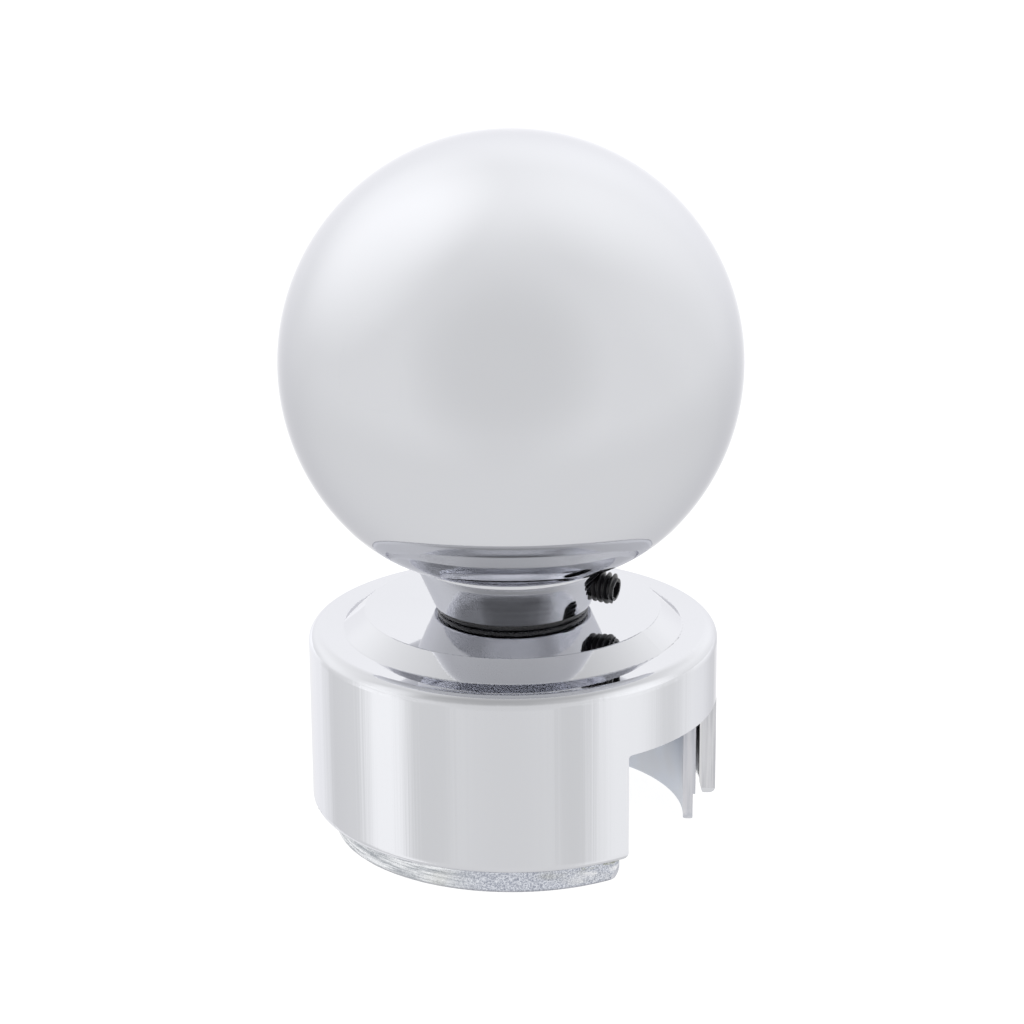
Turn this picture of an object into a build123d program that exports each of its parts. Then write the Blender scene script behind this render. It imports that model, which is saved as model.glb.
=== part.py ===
from build123d import *
import os
from math import cos, radians, sin, sqrt

# A ball-top cap for a round fence post. A hollow ball sits on a turned collar, the collar slips over
# a spigot and is locked to it by a set screw, and the spigot stands on a polished cap shell. An
# unpolished sleeve inside the shell fits over the post. Shell and sleeve share a slot that is open
# at the bottom and lets the top rail of the fence through.
# Millimetres. +Z is up, the origin is the centre of the post bore's mouth, and +X points out of the
# middle of the rail slot.

# Driving dimensions: the post and the sleeve that fits over it
post_diameter = 60.3
post_clearance = 0.15
bore_radius = post_diameter / 2 + post_clearance
bore_depth = 28.0
sleeve_radius = 32.5
sleeve_foot_radius = 32.05
sleeve_foot_height = 5.5
sleeve_foot_round = 0.65
sleeve_corner_width = 1.6
sleeve_corner_height = 3.3
web_thickness = 3.0
land_height = 4.0
land_gap = 0.05

# The rail slot, a sector seen from above
slot_top = 24.36
shell_slot_angle = 53.0
sleeve_slot_angle = 50.0
slot_corner_round = 0.6

# The cap shell
shell_radius = 36.0
shell_wall = 2.85
shell_bottom = 5.13
shell_bottom_round = 1.5
shell_mouth_round = 0.5
shell_corner_width = 0.9
shell_corner_height = 1.8
mouth_taper_width = 0.6
mouth_taper_height = 2.4
annulus_height = 37.2
disc_height = 40.34
disc_radius = 25.95
disc_edge_round = 0.35
step_radius = 29.85
step_root_round = 0.5
rim_round = 2.3
top_thickness = 3.0
recess_radius = 24.0

# The spigot and the M8 screw that holds it down
spigot_radius = 6.0
spigot_top = 62.0
spigot_chamfer = 1.0
m8_radius = 3.95
m8_hole_radius = 4.0
m8_clearance_radius = 4.25
m8_length = 16.0
m8_tapped_depth = 12.0
m8_head_radius = 7.0
m8_head_height = 4.4
m8_crown_radius = 3.6
m8_socket = 5.0
m8_socket_depth = 2.6
lock_washer_radius = 7.4
lock_washer_thickness = 2.0
lock_washer_split = 1.2
lock_washer_slant = 70.0
hub_radius = 12.0
counterbore_radius = 7.7
counterbore_depth = 6.7

# Three M4 countersunk screws that hold the sleeve in the shell
m4_count = 3
m4_circle_radius = 19.0
m4_start_angle = 60.0
m4_radius = 1.95
m4_hole_radius = 2.0
m4_clearance_radius = 2.2
m4_length = 10.0
m4_head_radius = 3.8
m4_sink_radius = 4.1
m4_sink_angle = 90.0
m4_head_below = 0.25
m4_socket = 2.5
m4_socket_depth = 1.5
m4_hole_end = 38.5
boss_radius = 4.2

# The ball: a sphere whose underside curves in more tightly below a shoulder
ball_radius = 40.0
ball_centre = 84.63
ball_wall = 1.0
ball_shoulder_radius = 29.4
ball_under_radius = 26.5
ball_mouth_radius = 16.5

# The rubber ring under the collar, and the collar
ring_radius = 13.25
ring_thickness = 1.1
ring_bore = 6.15
ring_round = 0.4
braze_gap = 0.05
collar_bore_radius = 6.05
collar_foot_radius = 13.85
collar_foot_chamfer = 0.15
collar_cone_radius = 16.76
collar_cone_rise = 6.76
collar_top_radius = 17.14
collar_floor = 51.0
collar_nose_top = 54.0
collar_nose_wall = 2.4
collar_hub_radius = 9.5
collar_hub_top = 57.0
collar_bore_chamfer = 0.6

# The No. 12-24 x 1/2 in set screw, which slopes down and out through the collar
screw_angle = 7.75
screw_tilt = 5.5
screw_height = 7.46
screw_radius = 2.743
screw_length = 12.7
screw_end = 19.57
screw_thread_gap = 0.05
screw_point_chamfer = 0.95
screw_head_chamfer = 0.4
screw_cup_radius = 1.3
screw_cup_depth = 0.6
screw_socket = 2.78
screw_socket_depth = 2.6

web_bottom = bore_depth
web_top = web_bottom + web_thickness
shell_bore_radius = shell_radius - shell_wall
recess_top = disc_height - top_thickness
shell_ceiling = annulus_height - top_thickness
counterbore_top = web_bottom + counterbore_depth
collar_bottom = disc_height + ring_thickness
m8_head_face = counterbore_top - lock_washer_thickness
shoulder_share = 1 - ball_under_radius / ball_radius
ball_shoulder_drop = sqrt(ball_radius**2 - ball_shoulder_radius**2)
ball_under_offset = ball_shoulder_radius * shoulder_share
ball_under_centre = ball_centre - ball_shoulder_drop * shoulder_share
set_screw_plane = Plane(
    origin=(0, 0, disc_height + screw_height),
    x_dir=(-sin(radians(screw_angle)), cos(radians(screw_angle)), 0),
    z_dir=(
        cos(radians(screw_tilt)) * cos(radians(screw_angle)),
        cos(radians(screw_tilt)) * sin(radians(screw_angle)),
        -sin(radians(screw_tilt)),
    ),
)


def ball_underside(radius, offset=0):
    """Height of the ball's underside at a radius from the axis, or of a surface an offset outside it."""
    return ball_under_centre - sqrt((ball_under_radius + offset) ** 2 - (radius - ball_under_offset) ** 2)


def corner(sketch, radius, height):
    """The corner of a profile that lies at a radius and a height."""
    return sketch.vertices().sort_by_distance((radius, height, 0))[0]


def hexagon_radius(across_flats):
    """Corner radius of a hexagon of a given width across its flats."""
    return across_flats / 2 / cos(radians(30))


def write(name, part):
    """Label a finished piece and write it to its own file."""
    part.label = name
    export_step(part, f"parts/{name}.step")


def slot_cutter(angle):
    """A wedge about +X that reaches from below the bore's mouth to the top of the rail slot."""
    reach = shell_radius * 1.5
    half = radians(angle / 2)
    with BuildPart() as wedge:
        with BuildSketch(Plane.XY.offset(-1)):
            with BuildLine():
                Polyline(
                    (0, 0),
                    (reach * cos(half), -reach * sin(half)),
                    (reach * cos(half), reach * sin(half)),
                    close=True,
                )
            make_face()
        extrude(amount=slot_top + 1)
        radial_edges = wedge.edges().group_by(Axis.Z)[-1].filter_by(Axis.Y, reverse=True)
        fillet(radial_edges, radius=slot_corner_round)
    return wedge.part


def slot_corner_cutter(angle, bottom, width, height):
    """What rounds off the bottom corners of a wall on both sides of its slot."""
    half = radians(angle / 2)
    jamb = Plane(
        origin=(0, 0, bottom),
        x_dir=(-sin(half), cos(half), 0),
        z_dir=(cos(half), sin(half), 0),
    )
    with BuildPart() as corner_cutter:
        with BuildSketch(jamb.offset(bore_radius - 1)):
            with BuildLine():
                RadiusArc((width, 0), (0, height), height)
                Polyline((0, height), (-1, height), (-1, -1), (width, -1), (width, 0))
            make_face()
        extrude(amount=shell_radius - bore_radius + 2)
        mirror(about=Plane.XZ)
    return corner_cutter.part


def make_inner_sleeve():
    """The sleeve over the post: a tube, a web that stops the post, and a hub up to the shell."""
    land_bottom = web_top - land_height
    land_radius = shell_bore_radius - land_gap
    with BuildPart() as inner_sleeve:
        with BuildSketch(Plane.XZ) as profile:
            with BuildLine():
                Polyline(
                    (bore_radius, 0),
                    (sleeve_foot_radius, 0),
                    (sleeve_foot_radius, sleeve_foot_height),
                    (sleeve_radius, sleeve_foot_height),
                    (sleeve_radius, land_bottom),
                    (land_radius, land_bottom),
                    (land_radius, web_top),
                    (hub_radius, web_top),
                    (hub_radius, recess_top),
                    (m8_clearance_radius, recess_top),
                    (m8_clearance_radius, counterbore_top),
                    (counterbore_radius, counterbore_top),
                    (counterbore_radius, web_bottom),
                    (bore_radius, web_bottom),
                    close=True,
                )
            make_face()
            fillet(corner(profile, sleeve_foot_radius, 0), radius=sleeve_foot_round)
            fillet(corner(profile, bore_radius, 0), radius=sleeve_foot_round)
        revolve(axis=Axis.Z)
        with Locations(Plane(origin=(0, 0, web_bottom), x_dir=(1, 0, 0), z_dir=(0, 0, -1))):
            with PolarLocations(m4_circle_radius, m4_count, start_angle=m4_start_angle):
                CounterSinkHole(
                    radius=m4_clearance_radius,
                    counter_sink_radius=m4_sink_radius,
                    depth=web_thickness,
                    counter_sink_angle=m4_sink_angle,
                )
        add(slot_cutter(sleeve_slot_angle), mode=Mode.SUBTRACT)
        corners = slot_corner_cutter(sleeve_slot_angle, 0, sleeve_corner_width, sleeve_corner_height)
        add(corners, mode=Mode.SUBTRACT)
    write("inner_sleeve", inner_sleeve.part)


def make_cap_shell():
    """The polished shell: a raised disc, a conical step, a flat ring, a round rim and a plain wall."""
    with BuildPart() as cap_shell:
        with BuildSketch(Plane.XZ) as profile:
            with BuildLine():
                Polyline(
                    (m8_clearance_radius, disc_height),
                    (disc_radius, disc_height),
                    (step_radius, annulus_height),
                    (shell_radius, annulus_height),
                    (shell_radius, shell_bottom),
                    (shell_bore_radius + mouth_taper_width, shell_bottom),
                    (shell_bore_radius, shell_bottom + mouth_taper_height),
                    (shell_bore_radius, shell_ceiling),
                    (recess_radius, shell_ceiling),
                    (recess_radius, recess_top),
                    (m8_clearance_radius, recess_top),
                    close=True,
                )
            make_face()
            fillet(corner(profile, shell_radius, annulus_height), radius=rim_round)
            fillet(corner(profile, disc_radius, disc_height), radius=disc_edge_round)
            fillet(corner(profile, step_radius, annulus_height), radius=step_root_round)
            fillet(corner(profile, shell_radius, shell_bottom), radius=shell_bottom_round)
            mouth_corner = corner(profile, shell_bore_radius + mouth_taper_width, shell_bottom)
            fillet(mouth_corner, radius=shell_mouth_round)
        revolve(axis=Axis.Z)
        with BuildSketch(Plane.XY.offset(web_top)):
            with PolarLocations(m4_circle_radius, m4_count, start_angle=m4_start_angle):
                Circle(boss_radius)
        extrude(amount=recess_top - web_top)
        with BuildSketch(Plane.XY.offset(web_top)):
            with PolarLocations(m4_circle_radius, m4_count, start_angle=m4_start_angle):
                Circle(m4_hole_radius)
        extrude(amount=m4_hole_end - web_top, mode=Mode.SUBTRACT)
        add(slot_cutter(shell_slot_angle), mode=Mode.SUBTRACT)
        corners = slot_corner_cutter(shell_slot_angle, shell_bottom, shell_corner_width, shell_corner_height)
        add(corners, mode=Mode.SUBTRACT)
    write("cap_shell", cap_shell.part)


def make_sleeve_screw(number, angle):
    """One M4 countersunk screw, head down in the sleeve's web, with a hexagon socket."""
    centre = (m4_circle_radius * cos(radians(angle)), m4_circle_radius * sin(radians(angle)), 0)
    head_bottom = web_bottom + m4_head_below
    with BuildPart() as sleeve_screw:
        with BuildSketch(Plane(origin=centre, x_dir=(1, 0, 0), z_dir=(0, -1, 0))):
            with BuildLine():
                Polyline(
                    (0, head_bottom),
                    (m4_head_radius, head_bottom),
                    (m4_radius, head_bottom + m4_head_radius - m4_radius),
                    (m4_radius, web_bottom + m4_length),
                    (0, web_bottom + m4_length),
                    close=True,
                )
            make_face()
        revolve(axis=Axis(centre, (0, 0, 1)))
        with BuildSketch(Plane(origin=centre).offset(head_bottom)):
            RegularPolygon(radius=hexagon_radius(m4_socket), side_count=6)
        extrude(amount=m4_socket_depth, mode=Mode.SUBTRACT)
    write(f"sleeve_screw_{number}", sleeve_screw.part)


def make_spigot():
    """The pin that the ball's collar slips over, tapped M8 from below."""
    with BuildPart() as spigot:
        with BuildSketch(Plane.XY.offset(disc_height)):
            Circle(spigot_radius)
        extrude(amount=spigot_top - disc_height)
        chamfer(spigot.edges().sort_by(Axis.Z)[-1], length=spigot_chamfer)
        with BuildSketch(Plane.XY.offset(disc_height)):
            Circle(m8_hole_radius)
        extrude(amount=m8_tapped_depth, mode=Mode.SUBTRACT)
    write("spigot", spigot.part)


def make_spigot_screw():
    """The M8 button-head screw that draws the spigot down on the shell and the sleeve's hub."""
    head_bottom = m8_head_face - m8_head_height
    with BuildPart() as spigot_screw:
        with BuildSketch(Plane.XZ):
            with BuildLine():
                Line((0, m8_head_face + m8_length), (0, head_bottom))
                Line((0, head_bottom), (m8_crown_radius, head_bottom))
                RadiusArc(
                    (m8_crown_radius, head_bottom),
                    (m8_head_radius, m8_head_face),
                    -m8_head_radius,
                )
                Line((m8_head_radius, m8_head_face), (m8_radius, m8_head_face))
                Line((m8_radius, m8_head_face), (m8_radius, m8_head_face + m8_length))
                Line((m8_radius, m8_head_face + m8_length), (0, m8_head_face + m8_length))
            make_face()
        revolve(axis=Axis.Z)
        with BuildSketch(Plane.XY.offset(head_bottom)):
            RegularPolygon(radius=hexagon_radius(m8_socket), side_count=6)
        extrude(amount=m8_socket_depth, mode=Mode.SUBTRACT)
    write("spigot_screw", spigot_screw.part)


def make_lock_washer():
    """The split spring washer under the M8 head, pressed flat, with its slanted split."""
    ring_middle = (m8_hole_radius + lock_washer_radius) / 2
    split_plane = Plane(
        origin=(0, -ring_middle, m8_head_face + lock_washer_thickness / 2),
        x_dir=(cos(radians(lock_washer_slant)), 0, sin(radians(lock_washer_slant))),
        z_dir=(0, 1, 0),
    )
    with BuildPart() as lock_washer:
        with BuildSketch(Plane.XY.offset(m8_head_face)):
            Circle(lock_washer_radius)
            Circle(m8_clearance_radius, mode=Mode.SUBTRACT)
        extrude(amount=lock_washer_thickness)
        with BuildSketch(split_plane):
            Rectangle(lock_washer_thickness * 2, lock_washer_split)
        extrude(amount=lock_washer_radius / 2, both=True, mode=Mode.SUBTRACT)
    write("lock_washer", lock_washer.part)


def make_collar_washer():
    """The black rubber ring that keeps the collar off the mirror face of the disc."""
    with BuildPart() as collar_washer:
        with BuildSketch(Plane.XY.offset(disc_height)):
            Circle(ring_radius)
            Circle(ring_bore, mode=Mode.SUBTRACT)
        extrude(amount=ring_thickness)
        rim_edges = collar_washer.edges().filter_by(GeomType.CIRCLE).group_by(SortBy.RADIUS)[-1]
        fillet(rim_edges, radius=ring_round)
    write("collar_washer", collar_washer.part)


def make_ball_collar():
    """The turned collar: a cone with a rounded top edge under the ball, and a nose inside the ball."""
    nose_radius = ball_mouth_radius - braze_gap
    nose_inner_radius = nose_radius - collar_nose_wall
    cone_foot = (collar_foot_radius, collar_bottom + collar_foot_chamfer)
    cone_top = (collar_cone_radius, collar_bottom + collar_cone_rise)
    seat_edge = (collar_top_radius, ball_underside(collar_top_radius, braze_gap))
    nose_root = (nose_radius, ball_underside(nose_radius, braze_gap))
    with BuildPart() as ball_collar:
        with BuildSketch(Plane.XZ):
            with BuildLine():
                Line((collar_foot_radius - collar_foot_chamfer, collar_bottom), cone_foot)
                cone = Line(cone_foot, cone_top)
                TangentArc(cone_top, seat_edge, tangent=cone % 1)
                RadiusArc(seat_edge, nose_root, ball_under_radius + braze_gap)
                Polyline(
                    nose_root,
                    (nose_radius, collar_nose_top),
                    (nose_inner_radius, collar_nose_top),
                    (nose_inner_radius, collar_floor),
                    (collar_hub_radius, collar_floor),
                    (collar_hub_radius, collar_hub_top),
                    (collar_bore_radius, collar_hub_top),
                    (collar_bore_radius, collar_bottom + collar_bore_chamfer),
                    (collar_bore_radius + collar_bore_chamfer, collar_bottom),
                    (collar_foot_radius - collar_foot_chamfer, collar_bottom),
                )
            make_face()
        revolve(axis=Axis.Z)
        with BuildSketch(set_screw_plane):
            Circle(screw_radius + screw_thread_gap)
        extrude(amount=ball_mouth_radius * 2, mode=Mode.SUBTRACT)
    write("ball_collar", ball_collar.part)


def make_ball_shell():
    """The hollow ball, one thin wall with a round mouth at the bottom for the collar's nose."""
    inner_radius = ball_radius - ball_wall
    inner_under_radius = ball_under_radius - ball_wall
    inner_share = inner_radius / ball_radius
    outer_mouth = (ball_mouth_radius, ball_underside(ball_mouth_radius))
    inner_mouth = (ball_mouth_radius, ball_underside(ball_mouth_radius, -ball_wall))
    outer_shoulder = (ball_shoulder_radius, ball_centre - ball_shoulder_drop)
    inner_shoulder = (ball_shoulder_radius * inner_share, ball_centre - ball_shoulder_drop * inner_share)
    with BuildPart() as ball_shell:
        with BuildSketch(Plane.XZ):
            with BuildLine():
                RadiusArc(outer_mouth, outer_shoulder, -ball_under_radius)
                ThreePointArc(outer_shoulder, (ball_radius, ball_centre), (0, ball_centre + ball_radius))
                Line((0, ball_centre + ball_radius), (0, ball_centre + inner_radius))
                ThreePointArc((0, ball_centre + inner_radius), (inner_radius, ball_centre), inner_shoulder)
                RadiusArc(inner_shoulder, inner_mouth, inner_under_radius)
                Line(inner_mouth, outer_mouth)
            make_face()
        revolve(axis=Axis.Z)
    write("ball_shell", ball_shell.part)


def make_set_screw():
    """The socket set screw: chamfered point with a cup, chamfered end with a hexagon socket."""
    point_plane = set_screw_plane.offset(screw_end - screw_length)
    with BuildPart() as set_screw:
        with BuildSketch(point_plane):
            Circle(screw_radius)
        extrude(amount=screw_length)
        rims = set_screw.edges().filter_by(GeomType.CIRCLE).sort_by(Axis.X)
        chamfer(rims[0], length=screw_point_chamfer)
        chamfer(rims[-1], length=screw_head_chamfer)
        with BuildSketch(point_plane):
            Circle(screw_cup_radius)
        extrude(amount=screw_cup_depth, taper=45, mode=Mode.SUBTRACT)
        with BuildSketch(set_screw_plane.offset(screw_end)):
            RegularPolygon(radius=hexagon_radius(screw_socket), side_count=6)
        extrude(amount=-screw_socket_depth, mode=Mode.SUBTRACT)
    write("set_screw", set_screw.part)


os.makedirs("parts", exist_ok=True)
make_inner_sleeve()
make_cap_shell()
for index in range(m4_count):
    make_sleeve_screw(index + 1, m4_start_angle + index * 360 / m4_count)
make_spigot()
make_spigot_screw()
make_lock_washer()
make_collar_washer()
make_ball_collar()
make_ball_shell()
make_set_screw()
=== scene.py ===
"""A chrome ball-top cap for a round fence post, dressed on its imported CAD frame. Metres, +Z up."""

import math

import bmesh
import bpy
from mathutils import Matrix, Vector


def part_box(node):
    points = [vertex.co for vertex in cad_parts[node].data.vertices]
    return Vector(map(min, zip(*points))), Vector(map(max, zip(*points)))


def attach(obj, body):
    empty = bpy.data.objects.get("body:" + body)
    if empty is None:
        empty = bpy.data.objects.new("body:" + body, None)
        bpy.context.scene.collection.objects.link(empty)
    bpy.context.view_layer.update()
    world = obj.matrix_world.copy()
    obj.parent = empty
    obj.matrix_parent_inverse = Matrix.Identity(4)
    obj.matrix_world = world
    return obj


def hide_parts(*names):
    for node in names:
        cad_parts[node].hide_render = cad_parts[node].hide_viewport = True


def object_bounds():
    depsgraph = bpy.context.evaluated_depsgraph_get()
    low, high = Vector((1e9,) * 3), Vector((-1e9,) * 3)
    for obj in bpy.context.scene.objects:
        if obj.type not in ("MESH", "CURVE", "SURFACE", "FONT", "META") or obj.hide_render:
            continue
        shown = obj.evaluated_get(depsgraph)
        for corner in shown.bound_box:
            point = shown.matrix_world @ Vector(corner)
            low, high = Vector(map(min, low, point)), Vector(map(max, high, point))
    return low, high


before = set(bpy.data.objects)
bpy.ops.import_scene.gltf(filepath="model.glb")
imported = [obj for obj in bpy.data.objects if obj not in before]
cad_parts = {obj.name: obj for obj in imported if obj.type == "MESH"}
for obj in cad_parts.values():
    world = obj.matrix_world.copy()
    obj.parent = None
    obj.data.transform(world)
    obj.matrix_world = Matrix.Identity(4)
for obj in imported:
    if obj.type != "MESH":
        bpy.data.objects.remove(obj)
cad_low, cad_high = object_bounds()

MM = 0.001
UP = Vector((0, 0, 1))

# The camera: where it stands round the part, and its lens
CAMERA_AZIMUTH = math.radians(31.0)
CAMERA_ELEVATION = math.radians(18.27)
CAMERA_DISTANCE = 0.5128
CAMERA_TARGET = Vector((0, 0, 0.05766))
CAMERA_LENS = 103.58
CAMERA_ROLL = math.radians(-0.44)

# Chrome returns about six tenths of the light, a little more of the blue, and more of it all at its rims
CHROME = (0.596, 0.602, 0.626)
CHROME_EDGE = (0.75, 0.75, 0.77, 1)

# The studio: a white tent and soft areas in it. Each area is (azimuth from the camera's side, elevation,
# inner angle, outer angle, amount), in degrees, and an amount adds to or takes from the tent's level.
TENT_LEVEL = 1.125
TENT_AREAS = (
    (-3, 13, 0, 56, -0.14),
    (180, 40, 31, 79, 0.26),
    (-112, 40, 0, 46, 0.23),
    (180, -78, 60, 84, -0.07),
    (180, 12, 0, 47, 0.16),
    (120, 30, 20, 57, 0.07),
)
# What only the ball gets of the tent: light from above, and two low areas in front
BALL_AREAS = (
    (-90, 84, 20, 75, 0.48),
    (-47, -18, 3, 17, 0.10),
    (34, -18, 3, 15, 0.12),
)
BALL_LIGHT_RADIUS = 3.5
# What reflections of reflections see more of
SECOND_AREAS = (
    (-128, 30, 12, 58, 0.25),
    (112, 22, 12, 58, 0.30),
)
# What the reflections after them see more of
THIRD_AREAS = (
    (-132, 26, 10, 46, 0.45),
    (98, 14, 10, 48, 0.70),
    (0, 34, 14, 46, 0.52),
)
# The dark gap on the camera's side, which those reflections see too. Its middle keeps a share of the tent's
# light. Its sides are steps of (azimuth, azimuth, change of share), its top and bottom are elevations.
GAP_SHARE = 0.34
GAP_STEPS = (
    (-42, -58, 0.26),
    (-80, -125, 0.40),
    (37, 52, 0.26),
    (50, 72, 0.40),
)
GAP_TOP = (2, 14)
GAP_BOTTOM = (-36, -46)
# How much brighter the reflections after those are
FOURTH_GAIN = 1.6

# A bright band on the camera's side that only the collar shows, after two other reflections
COLLAR_GLOW = 0.95
GLOW_SIDE = 88
GLOW_BOTTOM = (-6, 0)
GLOW_TOP = (24, 18)

# Tall strips of light beside the part, which only the polished cap shell mirrors. Each strip is (azimuth,
# width, radiance, foot, top), with its angles in degrees.
STRIPS = (
    (-76, 23, 0.38, -1.2, 0.05),
    (-143, 26, 0.42, -1.2, 0.05),
    (65, 30, 0.26, -1.2, 0.05),
    (124, 28, 0.26, -1.2, 0.05),
    (-76, 23, 0.34, 0.05, 1.3),
    (72, 34, 0.38, 0.05, 1.3),
)
STRIP_DISTANCE = 0.8

# The slot and the inside of the cap shell, for its masks
SHELL_SLOT_SIDE = math.radians(26.53)
SHELL_SLOT_TOP = 24.4 * MM
SHELL_INSIDE_RADIUS = 33.4 * MM
SHELL_INSIDE_TOP = 34.25 * MM
SHELL_WALL = (35.6 * MM, 35.9 * MM)

# The sides of the sleeve's slot lean outward below this height, towards the corners of its foot
SLEEVE_SLOT_SIDE = math.radians(25.03)
SLEEVE_FOOT_SIDE = math.radians(28.3)
SLEEVE_CORNER_TOP = 3.4 * MM
SLEEVE_OUTSIDE = (31.0 * MM, 31.5 * MM)

# Threads: the points of one pitch, and columns round a screw
THREAD_SHARES = (0.0, 0.125, 0.23, 0.335, 0.4375, 0.5625, 0.6875, 0.79, 0.895)
SIDES = 96
# The set screw's line, from its socket to its point: 7.75 degrees round from +X, tilted by 5.5 degrees
SET_SCREW_INWARD = -Vector((0.986304, 0.134230, -0.095846))


def direction(azimuth, elevation):
    """Unit vector at an azimuth from the camera's side, positive to its right, and an elevation."""
    a = math.radians(azimuth)
    e = math.radians(elevation)
    front = Vector((math.sin(CAMERA_AZIMUTH), -math.cos(CAMERA_AZIMUTH), 0))
    right = Vector((math.cos(CAMERA_AZIMUTH), math.sin(CAMERA_AZIMUTH), 0))
    level = front * math.cos(a) + right * math.sin(a)
    return level * math.cos(e) + Vector((0, 0, math.sin(e)))


# ---------------------------------------------------------------- node helpers


class Nodes:
    """A small wrapper that adds nodes to a tree and links them."""

    def __init__(self, tree):
        self.tree = tree
        self.tree.nodes.clear()

    def add(self, kind, inputs=None, **settings):
        node = self.tree.nodes.new(kind)
        for name, value in settings.items():
            setattr(node, name, value)
        for name, value in (inputs or {}).items():
            socket = node.inputs[name]
            if isinstance(value, bpy.types.NodeSocket):
                self.tree.links.new(value, socket)
            else:
                socket.default_value = value
        return node

    def math(self, operation, *values):
        return self.add("ShaderNodeMath", dict(enumerate(values)), operation=operation).outputs[0]

    def sum(self, *values):
        """The first number with the others added to it."""
        total = values[0]
        for value in values[1:]:
            total = self.math("ADD", total, value)
        return total

    def product(self, *values):
        """The first number multiplied by the others."""
        total = values[0]
        for value in values[1:]:
            total = self.math("MULTIPLY", total, value)
        return total

    def inverse(self, share):
        return self.math("SUBTRACT", 1.0, share)

    def ramp(self, value, low, high, to_low=0.0, to_high=1.0):
        """A number that runs smoothly between two levels while a value runs from low to high."""
        inputs = {"Value": value, "From Min": low, "From Max": high, "To Min": to_low, "To Max": to_high}
        return self.add("ShaderNodeMapRange", inputs, interpolation_type="SMOOTHSTEP").outputs["Result"]

    def mix(self, share, low, high):
        """Blend two numbers."""
        return self.add("ShaderNodeMix", {"Factor": share, 2: low, 3: high}, data_type="FLOAT").outputs[0]

    def blend(self, share, low, high):
        """Blend two colours."""
        low = (*low, 1) if isinstance(low, tuple) else low
        high = (*high, 1) if isinstance(high, tuple) else high
        return self.add("ShaderNodeMix", {"Factor": share, 6: low, 7: high}, data_type="RGBA").outputs[2]

    def place(self):
        return self.add("ShaderNodeTexCoord").outputs["Object"]

    def parts(self, vector):
        return self.add("ShaderNodeSeparateXYZ", {0: vector}).outputs

    def radius(self, place):
        """Distance from the part's axis."""
        x, y, z = self.parts(place)
        return self.math("SQRT", self.sum(self.product(x, x), self.product(y, y)))

    def from_slot(self, place):
        """Angle round the axis from the middle of the slot, the same on both sides of it."""
        x, y, z = self.parts(place)
        return self.math("ABSOLUTE", self.math("ARCTAN2", y, x))

    def stretch(self, vector, x, y, z):
        return self.add("ShaderNodeVectorMath", {0: vector, 1: (x, y, z)}, operation="MULTIPLY").outputs[0]

    def along(self, vector, toward):
        """How far a vector goes along a fixed direction."""
        inputs = {0: vector, 1: tuple(toward)}
        return self.add("ShaderNodeVectorMath", inputs, operation="DOT_PRODUCT").outputs["Value"]

    def noise(self, vector, scale, detail=4.0, roughness=0.5):
        inputs = {"Vector": vector, "Scale": scale, "Detail": detail, "Roughness": roughness}
        return self.add("ShaderNodeTexNoise", inputs).outputs["Fac"]

    def bump(self, height, distance, strength=1.0, normal=None):
        inputs = {"Height": height, "Distance": distance, "Strength": strength}
        if normal is not None:
            inputs["Normal"] = normal
        return self.add("ShaderNodeBump", inputs).outputs["Normal"]

    def glossy_depth(self):
        """How many reflections a ray of light has behind it."""
        return self.add("ShaderNodeLightPath").outputs["Glossy Depth"]

    def show(self, shader):
        """Put a shader on the material's surface."""
        self.add("ShaderNodeOutputMaterial", {"Surface": shader})

    def principled(self, **inputs):
        """A Principled shader, with its inputs given by their names in snake case."""
        named = {name.replace("_", " "): value for name, value in inputs.items()}
        return self.add("ShaderNodeBsdfPrincipled", named).outputs[0]

    def clear(self):
        return self.add("ShaderNodeBsdfTransparent").outputs[0]

    def finish(self, **inputs):
        self.show(self.principled(**inputs))


def new_material(name):
    material = bpy.data.materials.new(name)
    material.use_nodes = True
    return material, Nodes(material.node_tree)


# ---------------------------------------------------------------- light


def sum_of_areas(n, ray, areas, start=0.0):
    """The light of soft round areas in a ray's direction, each held between its two angles."""
    total = start
    for azimuth, elevation, inner, outer, amount in areas:
        toward = n.along(ray, direction(azimuth, elevation))
        low = math.cos(math.radians(outer))
        high = math.cos(math.radians(inner))
        total = n.sum(total, n.ramp(toward, low, high, 0.0, amount))
    return total


def tent_gap(n, ray):
    """The share of the tent's light that is left in a ray's direction by the gap on the camera's side."""
    ahead = n.along(ray, direction(0, 0))
    aside = n.along(ray, direction(90, 0))
    azimuth = n.math("DEGREES", n.math("ARCTAN2", aside, ahead))
    elevation = n.math("DEGREES", n.math("ARCSINE", n.parts(ray)[2]))
    share = GAP_SHARE
    for start, end, change in GAP_STEPS:
        share = n.sum(share, n.ramp(azimuth, start, end, 0.0, change))
    outside = n.math("MAXIMUM", n.ramp(elevation, *GAP_TOP), n.ramp(elevation, *GAP_BOTTOM))
    return n.mix(outside, share, 1.0)


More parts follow.
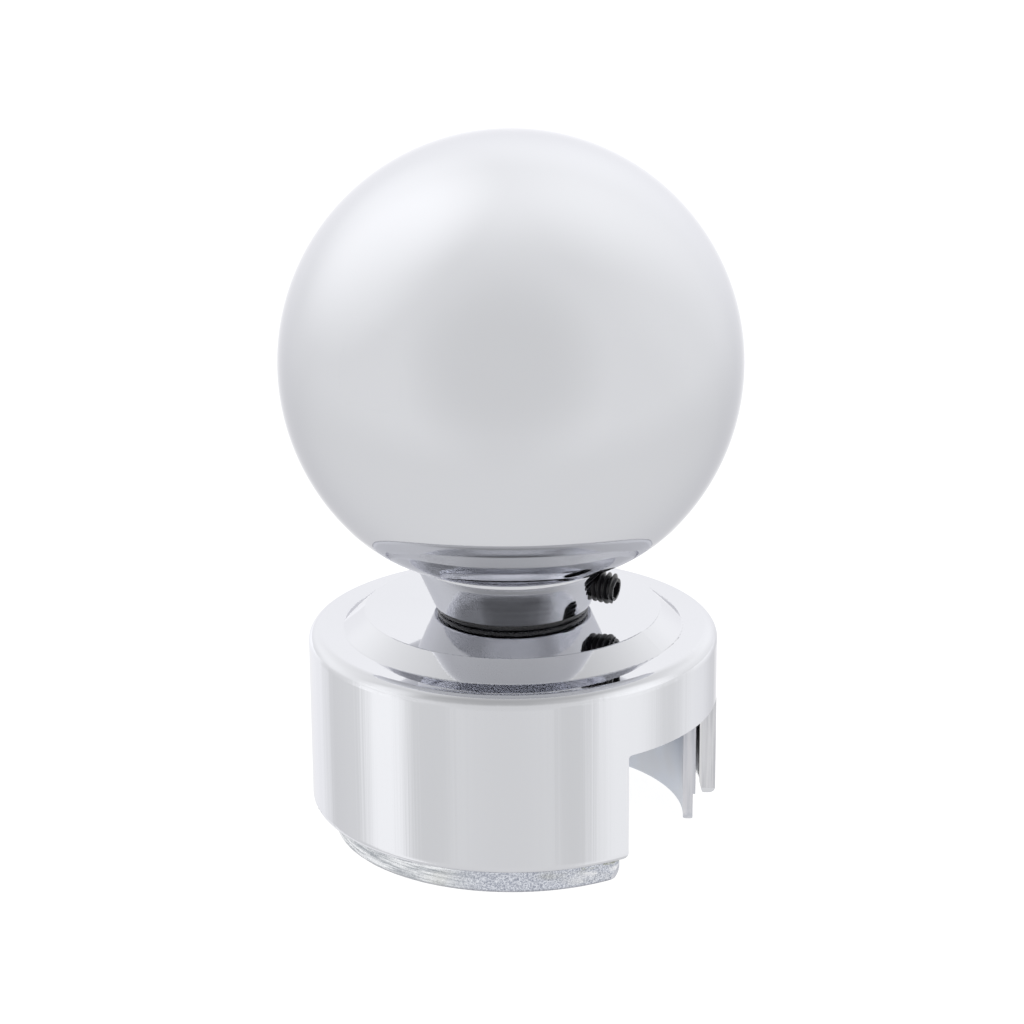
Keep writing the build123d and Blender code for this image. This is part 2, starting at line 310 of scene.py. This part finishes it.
def make_world():
    """A white light tent, which reflections of reflections see with brighter sides and a dark gap."""
    world = bpy.data.worlds.new("studio_tent")
    world.use_nodes = True
    n = Nodes(world.node_tree)
    ray = n.add("ShaderNodeTexCoord").outputs["Generated"]
    depth = n.glossy_depth()
    second = n.math("GREATER_THAN", depth, 1.5)
    third = n.math("GREATER_THAN", depth, 2.5)
    fourth = n.math("GREATER_THAN", depth, 3.5)
    total = sum_of_areas(n, ray, TENT_AREAS, TENT_LEVEL)
    total = n.math("SUBTRACT", total, sum_of_areas(n, ray, BALL_AREAS))
    total = n.sum(total, n.product(second, sum_of_areas(n, ray, SECOND_AREAS)))
    total = n.sum(total, n.product(third, sum_of_areas(n, ray, THIRD_AREAS)))
    share = n.mix(fourth, n.mix(third, 1.0, tent_gap(n, ray)), FOURTH_GAIN)
    light = n.add("ShaderNodeBackground", {"Color": (1, 1, 1, 1), "Strength": n.product(total, share)})
    n.add("ShaderNodeOutputWorld", {"Surface": light.outputs[0]})
    bpy.context.scene.world = world


def receivers_of(light, node):
    """A collection of the CAD node that a light falls on."""
    receivers = bpy.data.collections.new(f"lit_by_{light}")
    receivers.objects.link(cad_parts[node])
    return receivers


def hang_light(name, mesh, strength, receivers):
    """An unseen light of a mesh's shape, which only its receivers get, and which adds to what is behind it.

    strength is a function that makes the light's radiance with the nodes of its material."""
    material, n = new_material(name)
    glow = n.add("ShaderNodeEmission", {"Strength": strength(n)}).outputs[0]
    n.show(n.add("ShaderNodeAddShader", {0: glow, 1: n.clear()}).outputs[0])
    mesh.materials.append(material)
    light = bpy.data.objects.new(name, mesh)
    bpy.context.scene.collection.objects.link(light)
    light.light_linking.receiver_collection = receivers
    light.visible_camera = False
    light.visible_diffuse = False
    light.visible_shadow = False
    return light


def make_strip(number, azimuth, width, radiance, foot, top, receivers):
    """A tall upright strip of light with soft sides and top, for the shell's first reflections."""
    name = f"light_strip_{number}"
    half = STRIP_DISTANCE * math.tan(math.radians(width))
    mesh = bpy.data.meshes.new(name)
    corners = [(-half, 0, foot), (half, 0, foot), (half, 0, top), (-half, 0, top)]
    mesh.from_pydata(corners, [], [(0, 1, 2, 3)])

    def strength(n):
        x, y, z = n.parts(n.place())
        across = n.math("ABSOLUTE", n.math("DIVIDE", x, half))
        fade = n.ramp(z, top, top * 0.4)
        first = n.math("LESS_THAN", n.glossy_depth(), 1.5)
        return n.product(n.ramp(across, 0.15, 1.0, radiance, 0.0), n.product(fade, first))

    strip = hang_light(name, mesh, strength, receivers)
    toward = direction(azimuth, 0)
    strip.location = toward * STRIP_DISTANCE
    strip.rotation_euler = (0, 0, math.atan2(toward.y, toward.x) - math.pi / 2)


def make_strips():
    receivers = receivers_of("strips", "cap_shell")
    for number, strip in enumerate(STRIPS, 1):
        make_strip(number, *strip, receivers)


def make_collar_glow():
    """The bright band on the camera's side that the collar shows."""
    columns = 24
    points = []
    for column in range(columns + 1):
        azimuth = -GLOW_SIDE + 2 * GLOW_SIDE * column / columns
        for elevation in (GLOW_BOTTOM[0], GLOW_TOP[0]):
            points.append(direction(azimuth, elevation) * STRIP_DISTANCE)
    faces = [(2 * c, 2 * c + 2, 2 * c + 3, 2 * c + 1) for c in range(columns)]
    mesh = bpy.data.meshes.new("collar_glow")
    mesh.from_pydata(points, [], faces)

    def strength(n):
        height = n.math("DIVIDE", n.parts(n.place())[2], STRIP_DISTANCE)
        rise = n.ramp(height, *(math.sin(math.radians(angle)) for angle in GLOW_BOTTOM))
        fall = n.ramp(height, *(math.sin(math.radians(angle)) for angle in GLOW_TOP))
        third = n.math("GREATER_THAN", n.glossy_depth(), 2.5)
        return n.product(n.product(rise, fall), n.product(third, COLLAR_GLOW))

    hang_light("collar_glow", mesh, strength, receivers_of("collar_glow", "ball_collar"))


def make_ball_light():
    """The ball's own share of the tent, on a sphere round the part."""
    work = bmesh.new()
    bmesh.ops.create_uvsphere(work, u_segments=48, v_segments=24, radius=BALL_LIGHT_RADIUS)
    mesh = bpy.data.meshes.new("ball_light")
    work.to_mesh(mesh)
    work.free()

    def strength(n):
        ray = n.add("ShaderNodeVectorMath", {0: n.place()}, operation="NORMALIZE").outputs["Vector"]
        return sum_of_areas(n, ray, BALL_AREAS)

    sphere = hang_light("ball_light", mesh, strength, receivers_of("ball_light", "ball_shell"))
    low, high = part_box("ball_shell")
    sphere.location.z = (low.z + high.z) / 2


def make_floor():
    """A pale lit floor, clear from below. Polished metal doesn't mirror it, so it mirrors the tent alone."""
    mesh = bpy.data.meshes.new("floor")
    half = 4.0
    corners = [(-half, -half, 0), (half, -half, 0), (half, half, 0), (-half, half, 0)]
    mesh.from_pydata(corners, [], [(0, 1, 2, 3)])
    floor = bpy.data.objects.new("floor", mesh)
    floor.location.z = cad_low.z - 0.05 * MM
    bpy.context.scene.collection.objects.link(floor)
    material, n = new_material("pale_floor")
    lit = n.principled(
        Base_Color=(0.2, 0.2, 0.2, 1),
        Roughness=n.ramp(n.noise(n.place(), 3.0), 0.3, 0.7, 0.8, 0.9),
        Emission_Color=(1, 1, 1, 1),
        Emission_Strength=0.95,
        Specular_IOR_Level=0.0,
    )
    below = n.add("ShaderNodeNewGeometry").outputs["Backfacing"]
    n.show(n.add("ShaderNodeMixShader", {0: below, 1: lit, 2: n.clear()}).outputs[0])
    mesh.materials.append(material)
    floor.visible_glossy = False
    floor.visible_shadow = False


def make_camera():
    """The camera, at the height and side that show the slot's far jamb."""
    data = bpy.data.cameras.new("camera")
    data.lens = CAMERA_LENS
    data.sensor_width = 36
    data.clip_start = 0.01
    data.clip_end = 100
    camera = bpy.data.objects.new("camera", data)
    back = direction(0, math.degrees(CAMERA_ELEVATION))
    camera.location = CAMERA_TARGET + back * CAMERA_DISTANCE
    look = (-back).to_track_quat("-Z", "Y").to_matrix()
    camera.rotation_euler = (look @ Matrix.Rotation(CAMERA_ROLL, 3, "Z")).to_euler()
    bpy.context.scene.collection.objects.link(camera)
    bpy.context.scene.camera = camera


# ---------------------------------------------------------------- materials


def polish_marks(n, place, base, wear):
    """Roughness of polished plate: a base, broad handling smudges and fine dust."""
    smudge = n.noise(place, 30.0, 5.0, 0.6)
    dust = n.noise(place, 1400.0, 2.0)
    return n.sum(n.ramp(smudge, 0.42, 0.78, base, base + wear), n.ramp(dust, 0.62, 0.75, 0.0, wear * 0.6))


def plate_color(n, place):
    """Chrome's colour, a little uneven."""
    cloud = n.noise(place, 18.0, 3.0)
    return n.blend(n.ramp(cloud, 0.35, 0.65), CHROME, tuple(c * 0.98 for c in CHROME))


def orange_peel(n, place):
    """The faint waviness of polished and plated steel."""
    return n.bump(n.noise(place, 110.0, 1.0), 0.0006 * MM)


def cut_lines(n, place):
    """The upright lines that a cutter leaves on the sides of a slot."""
    return n.noise(n.stretch(place, 1.0, 1.0, 0.04), 1500.0, 3.0)


def ball_chrome():
    """Mirror-polished chrome."""
    material, n = new_material("ball_chrome")
    place = n.place()
    n.finish(
        Base_Color=plate_color(n, place),
        Metallic=1.0,
        Roughness=polish_marks(n, place, 0.045, 0.02),
        Specular_Tint=CHROME_EDGE,
        Normal=orange_peel(n, place),
    )
    return material


def turned_chrome():
    """Chrome over a turned surface: fine rings run round the axis."""
    material, n = new_material("collar_chrome")
    place = n.place()
    rings = n.noise(n.stretch(place, 0.02, 0.02, 1.0), 9000.0, 3.0)
    bands = n.noise(n.stretch(place, 0.0, 0.0, 1.0), 1500.0, 2.0)
    n.finish(
        Base_Color=plate_color(n, place),
        Metallic=1.0,
        Roughness=n.sum(polish_marks(n, place, 0.05, 0.02), n.ramp(bands, 0.4, 0.7, 0.0, 0.05)),
        Specular_Tint=CHROME_EDGE,
        Normal=n.bump(rings, 0.0012 * MM),
    )
    return material


def shell_chrome():
    """Mirror chrome outside, with faint drawing waves on its wall, matt cut faces in the slot and an
    unpolished dull inside, whose colour is made paler as painted light to lift the shade inside the shell."""
    material, n = new_material("shell_chrome")
    place = n.place()
    z = n.parts(place)[2]
    radius = n.radius(place)
    in_slot = n.math("LESS_THAN", n.from_slot(place), SHELL_SLOT_SIDE)
    jamb = n.product(in_slot, n.math("LESS_THAN", z, SHELL_SLOT_TOP))
    within = n.math("LESS_THAN", radius, SHELL_INSIDE_RADIUS)
    inside = n.product(within, n.math("LESS_THAN", z, SHELL_INSIDE_TOP))
    raw = n.math("MAXIMUM", jamb, inside)
    cuts = cut_lines(n, place)
    matt = n.blend(n.ramp(cuts, 0.35, 0.65), (0.50, 0.505, 0.53), (0.66, 0.66, 0.68))
    # Painted light: the dull inside's colour is made paler than the bare metal would be, to lift the shade
    # inside the shell
    unpolished_and_painted_light = n.blend(n.noise(place, 200.0), (0.78, 0.78, 0.79), (0.66, 0.66, 0.67))
    color = n.blend(inside, n.blend(jamb, plate_color(n, place), matt), unpolished_and_painted_light)
    drawn = n.noise(n.stretch(place, 1.0, 1.0, 0.01), 420.0, 3.0, 0.65)
    waves = n.bump(n.product(drawn, n.ramp(radius, *SHELL_WALL)), 0.06 * MM, 1.0, orange_peel(n, place))
    n.finish(
        Base_Color=color,
        Metallic=1.0,
        Roughness=n.mix(raw, polish_marks(n, place, 0.035, 0.02), n.ramp(cuts, 0.3, 0.7, 0.36, 0.5)),
        Specular_Tint=CHROME_EDGE,
        Normal=n.bump(n.product(raw, cuts), 0.03 * MM, 0.35, waves),
    )
    return material


def sleeve_coat(n, place, grain, outer):
    """The sleeve's outside: a sandy coat, turned hoops away from the slot, olive patches beside the slot,
    paler patches on the foot beside it, yellow oxide clouds and a dark bottom edge."""
    z = n.parts(place)[2]
    angle = n.from_slot(place)
    coat = n.blend(n.ramp(grain, 0.35, 0.65), (0.32, 0.34, 0.40), (0.70, 0.72, 0.77))
    hoops = n.noise(n.stretch(place, 0.06, 0.06, 1.0), 2600.0, 4.0, 0.6)
    turned = n.blend(n.ramp(hoops, 0.35, 0.65), (0.36, 0.38, 0.40), (0.90, 0.91, 0.92))
    coat = n.blend(n.ramp(angle, math.radians(66), math.radians(84), 0.0, 0.8), coat, turned)
    squat = n.stretch(place, 1.0, 1.0, 2.5)
    oxide = n.ramp(n.noise(squat, 60.0, 3.0), 0.58, 0.7, 0.0, 0.35)
    coat = n.blend(oxide, coat, (0.46, 0.46, 0.40))
    beside_slot = n.ramp(angle, math.radians(46), math.radians(32))
    above_foot = n.ramp(z, 2.4 * MM, 3.6 * MM)
    patch = n.ramp(n.noise(squat, 260.0, 3.0, 0.6), 0.42, 0.52)
    olive = n.product(beside_slot, above_foot, patch, 0.75)
    coat = n.blend(olive, coat, (0.30, 0.31, 0.23))
    # The foot beside the slot is paler in patches
    pale_foot_patch = n.product(beside_slot, n.inverse(above_foot), patch, 0.7)
    coat = n.blend(pale_foot_patch, coat, (0.86, 0.86, 0.87))
    edge = n.product(n.ramp(z, 0.7 * MM, 0.25 * MM), outer, 0.6)
    return n.blend(edge, coat, (0.20, 0.20, 0.23))


def cast_metal():
    """The unpolished sleeve: a coat with a sandy grain and bright facets outside, soft bluish clouds in the
    bore and upright lines on the sides of the slot."""
    material, n = new_material("cast_aluminium")
    place = n.place()
    z = n.parts(place)[2]
    slot_side = n.ramp(z, 0.0, SLEEVE_CORNER_TOP, SLEEVE_FOOT_SIDE, SLEEVE_SLOT_SIDE)
    in_slot = n.math("LESS_THAN", n.from_slot(place), slot_side)
    outer = n.ramp(n.radius(place), *SLEEVE_OUTSIDE)
    outside = n.product(outer, n.inverse(in_slot))
    grain = n.noise(place, 3400.0, 2.0, 0.7)
    cloud = n.ramp(n.noise(place, 130.0, 4.0), 0.3, 0.7)
    bore = n.blend(cloud, (0.50, 0.53, 0.59), (0.55, 0.565, 0.60))
    cuts = cut_lines(n, place)
    jamb = n.blend(n.ramp(cuts, 0.35, 0.65), (0.50, 0.51, 0.55), (0.62, 0.62, 0.65))
    facets = n.add("ShaderNodeTexVoronoi", {"Vector": place, "Scale": 3600.0}).outputs["Color"]
    sparkle = n.ramp(n.parts(facets)[0], 0.0, 1.0, 0.2, 0.6)
    fine = n.bump(grain, n.mix(outside, 0.004 * MM, 0.12 * MM))
    n.finish(
        Base_Color=n.blend(in_slot, n.blend(outside, bore, sleeve_coat(n, place, grain, outer)), jamb),
        Metallic=1.0,
        Roughness=n.mix(outside, n.mix(cloud, 0.42, 0.52), sparkle),
        Normal=n.bump(n.product(cuts, in_slot), 0.03 * MM, 0.4, fine),
    )
    return material


def black_oxide():
    """Black oxide on a screw, slightly oily."""
    material, n = new_material("black_oxide_steel")
    place = n.place()
    film = n.noise(place, 400.0, 3.0)
    n.finish(
        Base_Color=n.blend(n.ramp(film, 0.35, 0.7), (0.006, 0.006, 0.007), (0.02, 0.019, 0.021)),
        Metallic=0.0,
        Roughness=n.ramp(film, 0.3, 0.7, 0.3, 0.45),
        Specular_IOR_Level=0.4,
        Normal=n.bump(n.noise(place, 3000.0, 4.0), 0.004 * MM),
    )
    return material


def black_rubber():
    """The ring under the collar: moulded black rubber with a fine grain and a slight sheen."""
    material, n = new_material("black_rubber")
    grain = n.noise(n.place(), 2500.0, 3.0)
    n.finish(
        Base_Color=n.blend(grain, (0.008, 0.008, 0.009), (0.018, 0.018, 0.02)),
        Roughness=n.ramp(grain, 0.3, 0.7, 0.16, 0.26),
        Normal=n.bump(grain, 0.002 * MM),
    )
    return material


def bright_steel():
    """Turned steel: rings of tool marks round the axis."""
    material, n = new_material("turned_steel")
    place = n.place()
    rings = n.noise(n.stretch(place, 0.03, 0.03, 1.0), 5000.0, 3.0)
    n.finish(
        Base_Color=n.blend(n.noise(place, 90.0), (0.50, 0.50, 0.51), (0.58, 0.58, 0.59)),
        Metallic=1.0,
        Roughness=n.ramp(rings, 0.3, 0.7, 0.18, 0.34),
        Normal=n.bump(rings, 0.006 * MM),
    )
    return material


def zinc_plate():
    """Zinc plate: pale blue and yellow clouds over a fine crystal grain."""
    material, n = new_material("zinc_plated_steel")
    place = n.place()
    cloud = n.noise(place, 260.0, 3.0)
    crystal = n.noise(place, 2600.0, 3.0)
    n.finish(
        Base_Color=n.blend(n.ramp(cloud, 0.35, 0.65), (0.52, 0.56, 0.62), (0.60, 0.59, 0.53)),
        Metallic=1.0,
        Roughness=n.ramp(crystal, 0.3, 0.7, 0.22, 0.4),
        Normal=n.bump(crystal, 0.004 * MM),
    )
    return material


def give(material, *nodes):
    """Put a material on every slot of some CAD nodes."""
    for node in nodes:
        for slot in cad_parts[node].material_slots:
            slot.material = material


# ---------------------------------------------------------------- screws


def hexagon(across_flats, angle):
    """Radius of a hexagon of a width across its flats, in a direction."""
    sector = math.radians(60)
    return across_flats / 2 / math.cos((angle + sector / 2) % sector - sector / 2)


def thread_radius(share, crest, root):
    """Radius of a 60 degree thread at a share of its pitch: crest, flank, root and flank."""
    if share < 0.125:
        return crest
    if share < 0.4375:
        return crest + (root - crest) * (share - 0.125) / 0.3125
    if share < 0.6875:
        return root
    return root + (crest - root) * (share - 0.6875) / 0.3125


def thread_strip(angle, start, end, crest, root, pitch):
    """Points (height, radius) along a thread at one angle, held between its two ends."""
    lead = pitch * angle / (2 * math.pi)
    turns = math.ceil((end - start) / pitch) + 2
    points = []
    for turn in range(-1, turns):
        for share in THREAD_SHARES:
            height = start + pitch * (turn + share) + lead
            radius = thread_radius(share, crest, root)
            if height <= start or height >= end:
                radius = root
            points.append((min(max(height, start), end), radius))
    return points


def tidy_mesh(mesh):
    """Weld the mesh's double points, turn its faces outward and keep only its real creases sharp."""
    work = bmesh.new()
    work.from_mesh(mesh)
    bmesh.ops.remove_doubles(work, verts=work.verts, dist=0.0005 * MM)
    bmesh.ops.dissolve_degenerate(work, edges=work.edges, dist=0.0002 * MM)
    bmesh.ops.recalc_face_normals(work, faces=work.faces)
    work.to_mesh(mesh)
    work.free()
    mesh.shade_smooth()
    mesh.set_sharp_from_angle(angle=math.radians(28))


def screw_mesh(name, head, thread, tip, socket):
    """A socket screw's mesh, with its heights along +Z from head to tip.

    head is a list of (height, radius) from the socket's rim to the thread, thread is (start, end, crest,
    root, pitch), tip is a list of (height, radius) to the axis, and socket is (width, depth)."""
    width, depth = socket
    rows = []
    for column in range(SIDES + 1):
        angle = 2 * math.pi * column / SIDES
        flat = hexagon(width, angle)
        strip = [(depth * 1.12, 0.0), (depth, flat * 0.86), (depth, flat)]
        strip += [(0.05 * MM, flat), (0.0, flat + 0.06 * MM)]
        strip += head
        strip += thread_strip(angle, *thread)
        strip += tip
        cos = math.cos(angle)
        sin = math.sin(angle)
        rows.append([(radius * cos, radius * sin, height) for height, radius in strip])
    count = len(rows[0])
    points = [point for row in rows for point in row]
    faces = []
    for column in range(SIDES):
        for index in range(count - 1):
            low = column * count + index
            faces.append((low, low + count, low + count + 1, low + 1))
    mesh = bpy.data.meshes.new(name)
    mesh.from_pydata(points, [], faces)
    tidy_mesh(mesh)
    return mesh


def place_screw(mesh, origin, axis, material, body, node):
    """Put a screw's mesh on its line from head to tip, in the place of a CAD node."""
    screw = bpy.data.objects.new(mesh.name, mesh)
    turn = axis.to_track_quat("Z", "Y").to_matrix().to_4x4()
    mesh.transform(Matrix.Translation(origin) @ turn)
    mesh.materials.append(material)
    bpy.context.scene.collection.objects.link(screw)
    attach(screw, body)
    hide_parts(node)


def make_set_screw(material):
    """The No. 12-24 x 1/2 in set screw: hexagon socket outward, cup point inward."""
    low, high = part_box("set_screw")
    length = 12.7 * MM
    origin = (low + high) / 2 - SET_SCREW_INWARD * length / 2
    root = 2.1 * MM
    start = 0.35 * MM
    end = 12.0 * MM
    head = [(0.0, root - 0.12 * MM), (start, root)]
    thread = (start, end, 2.73 * MM, root, 1.058 * MM)
    tip = [(end, root), (length, 1.75 * MM), (length, 1.3 * MM), (length - 0.6 * MM, 0.0)]
    mesh = screw_mesh("set_screw_12_24", head, thread, tip, (2.78 * MM, 2.6 * MM))
    place_screw(mesh, origin, SET_SCREW_INWARD, material, "set_screw", "set_screw")


def make_button_screw(material):
    """The M8 x 16 button-head screw, head down."""
    low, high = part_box("spigot_screw")
    length = high.z - low.z
    crown = 3.6 * MM
    outer = 7.0 * MM
    height = 4.4 * MM
    root = 3.3 * MM
    end = length - 0.6 * MM
    head = [(0.0, crown - 0.1 * MM)]
    for step in range(1, 13):
        angle = step / 12 * math.pi / 2
        head.append((height * (1 - math.cos(angle)) * 0.97, crown + (outer - crown) * math.sin(angle)))
    head += [(height, outer), (height, root)]
    thread = (height, end, 3.94 * MM, root, 1.25 * MM)
    tip = [(end, root), (length, 2.9 * MM), (length, 0.0)]
    mesh = screw_mesh("m8_button_screw", head, thread, tip, (5.0 * MM, 2.6 * MM))
    origin = Vector((0, 0, low.z))
    place_screw(mesh, origin, UP, material, "root", "spigot_screw")


def make_countersunk_screw(number, material):
    """One M4 x 10 countersunk screw in the sleeve's web, head down."""
    node = f"sleeve_screw_{number}"
    low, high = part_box(node)
    centre = (low + high) / 2
    length = high.z - low.z
    outer = 3.78 * MM
    root = 1.53 * MM
    under = 1.9 * MM
    start = 2.4 * MM
    end = length - 0.35 * MM
    head = [(0.0, outer - 0.15 * MM), (0.12 * MM, outer), (0.3 * MM, outer)]
    head += [(outer - under + 0.1 * MM, under), (start, root)]
    thread = (start, end, 1.94 * MM, root, 0.7 * MM)
    tip = [(end, root), (length, 1.25 * MM), (length, 0.0)]
    mesh = screw_mesh(f"m4_countersunk_screw_{number}", head, thread, tip, (2.5 * MM, 1.5 * MM))
    origin = Vector((centre.x, centre.y, low.z))
    place_screw(mesh, origin, UP, material, "root", node)


# ---------------------------------------------------------------- the model

make_world()
make_floor()
make_camera()
make_strips()
make_collar_glow()
make_ball_light()

zinc = zinc_plate()
black = black_oxide()
give(ball_chrome(), "ball_shell")
give(shell_chrome(), "cap_shell")
give(turned_chrome(), "ball_collar")
give(black_rubber(), "collar_washer")
give(cast_metal(), "inner_sleeve")
give(bright_steel(), "spigot")
give(zinc, "lock_washer", "spigot_screw", "sleeve_screw_1", "sleeve_screw_2", "sleeve_screw_3")
give(black, "set_screw")
make_set_screw(black)
make_button_screw(zinc)
for number in (1, 2, 3):
    make_countersunk_screw(number, zinc)

bpy.context.scene.view_settings.view_transform = "Standard"
bpy.context.scene.cycles.glossy_bounces = 8
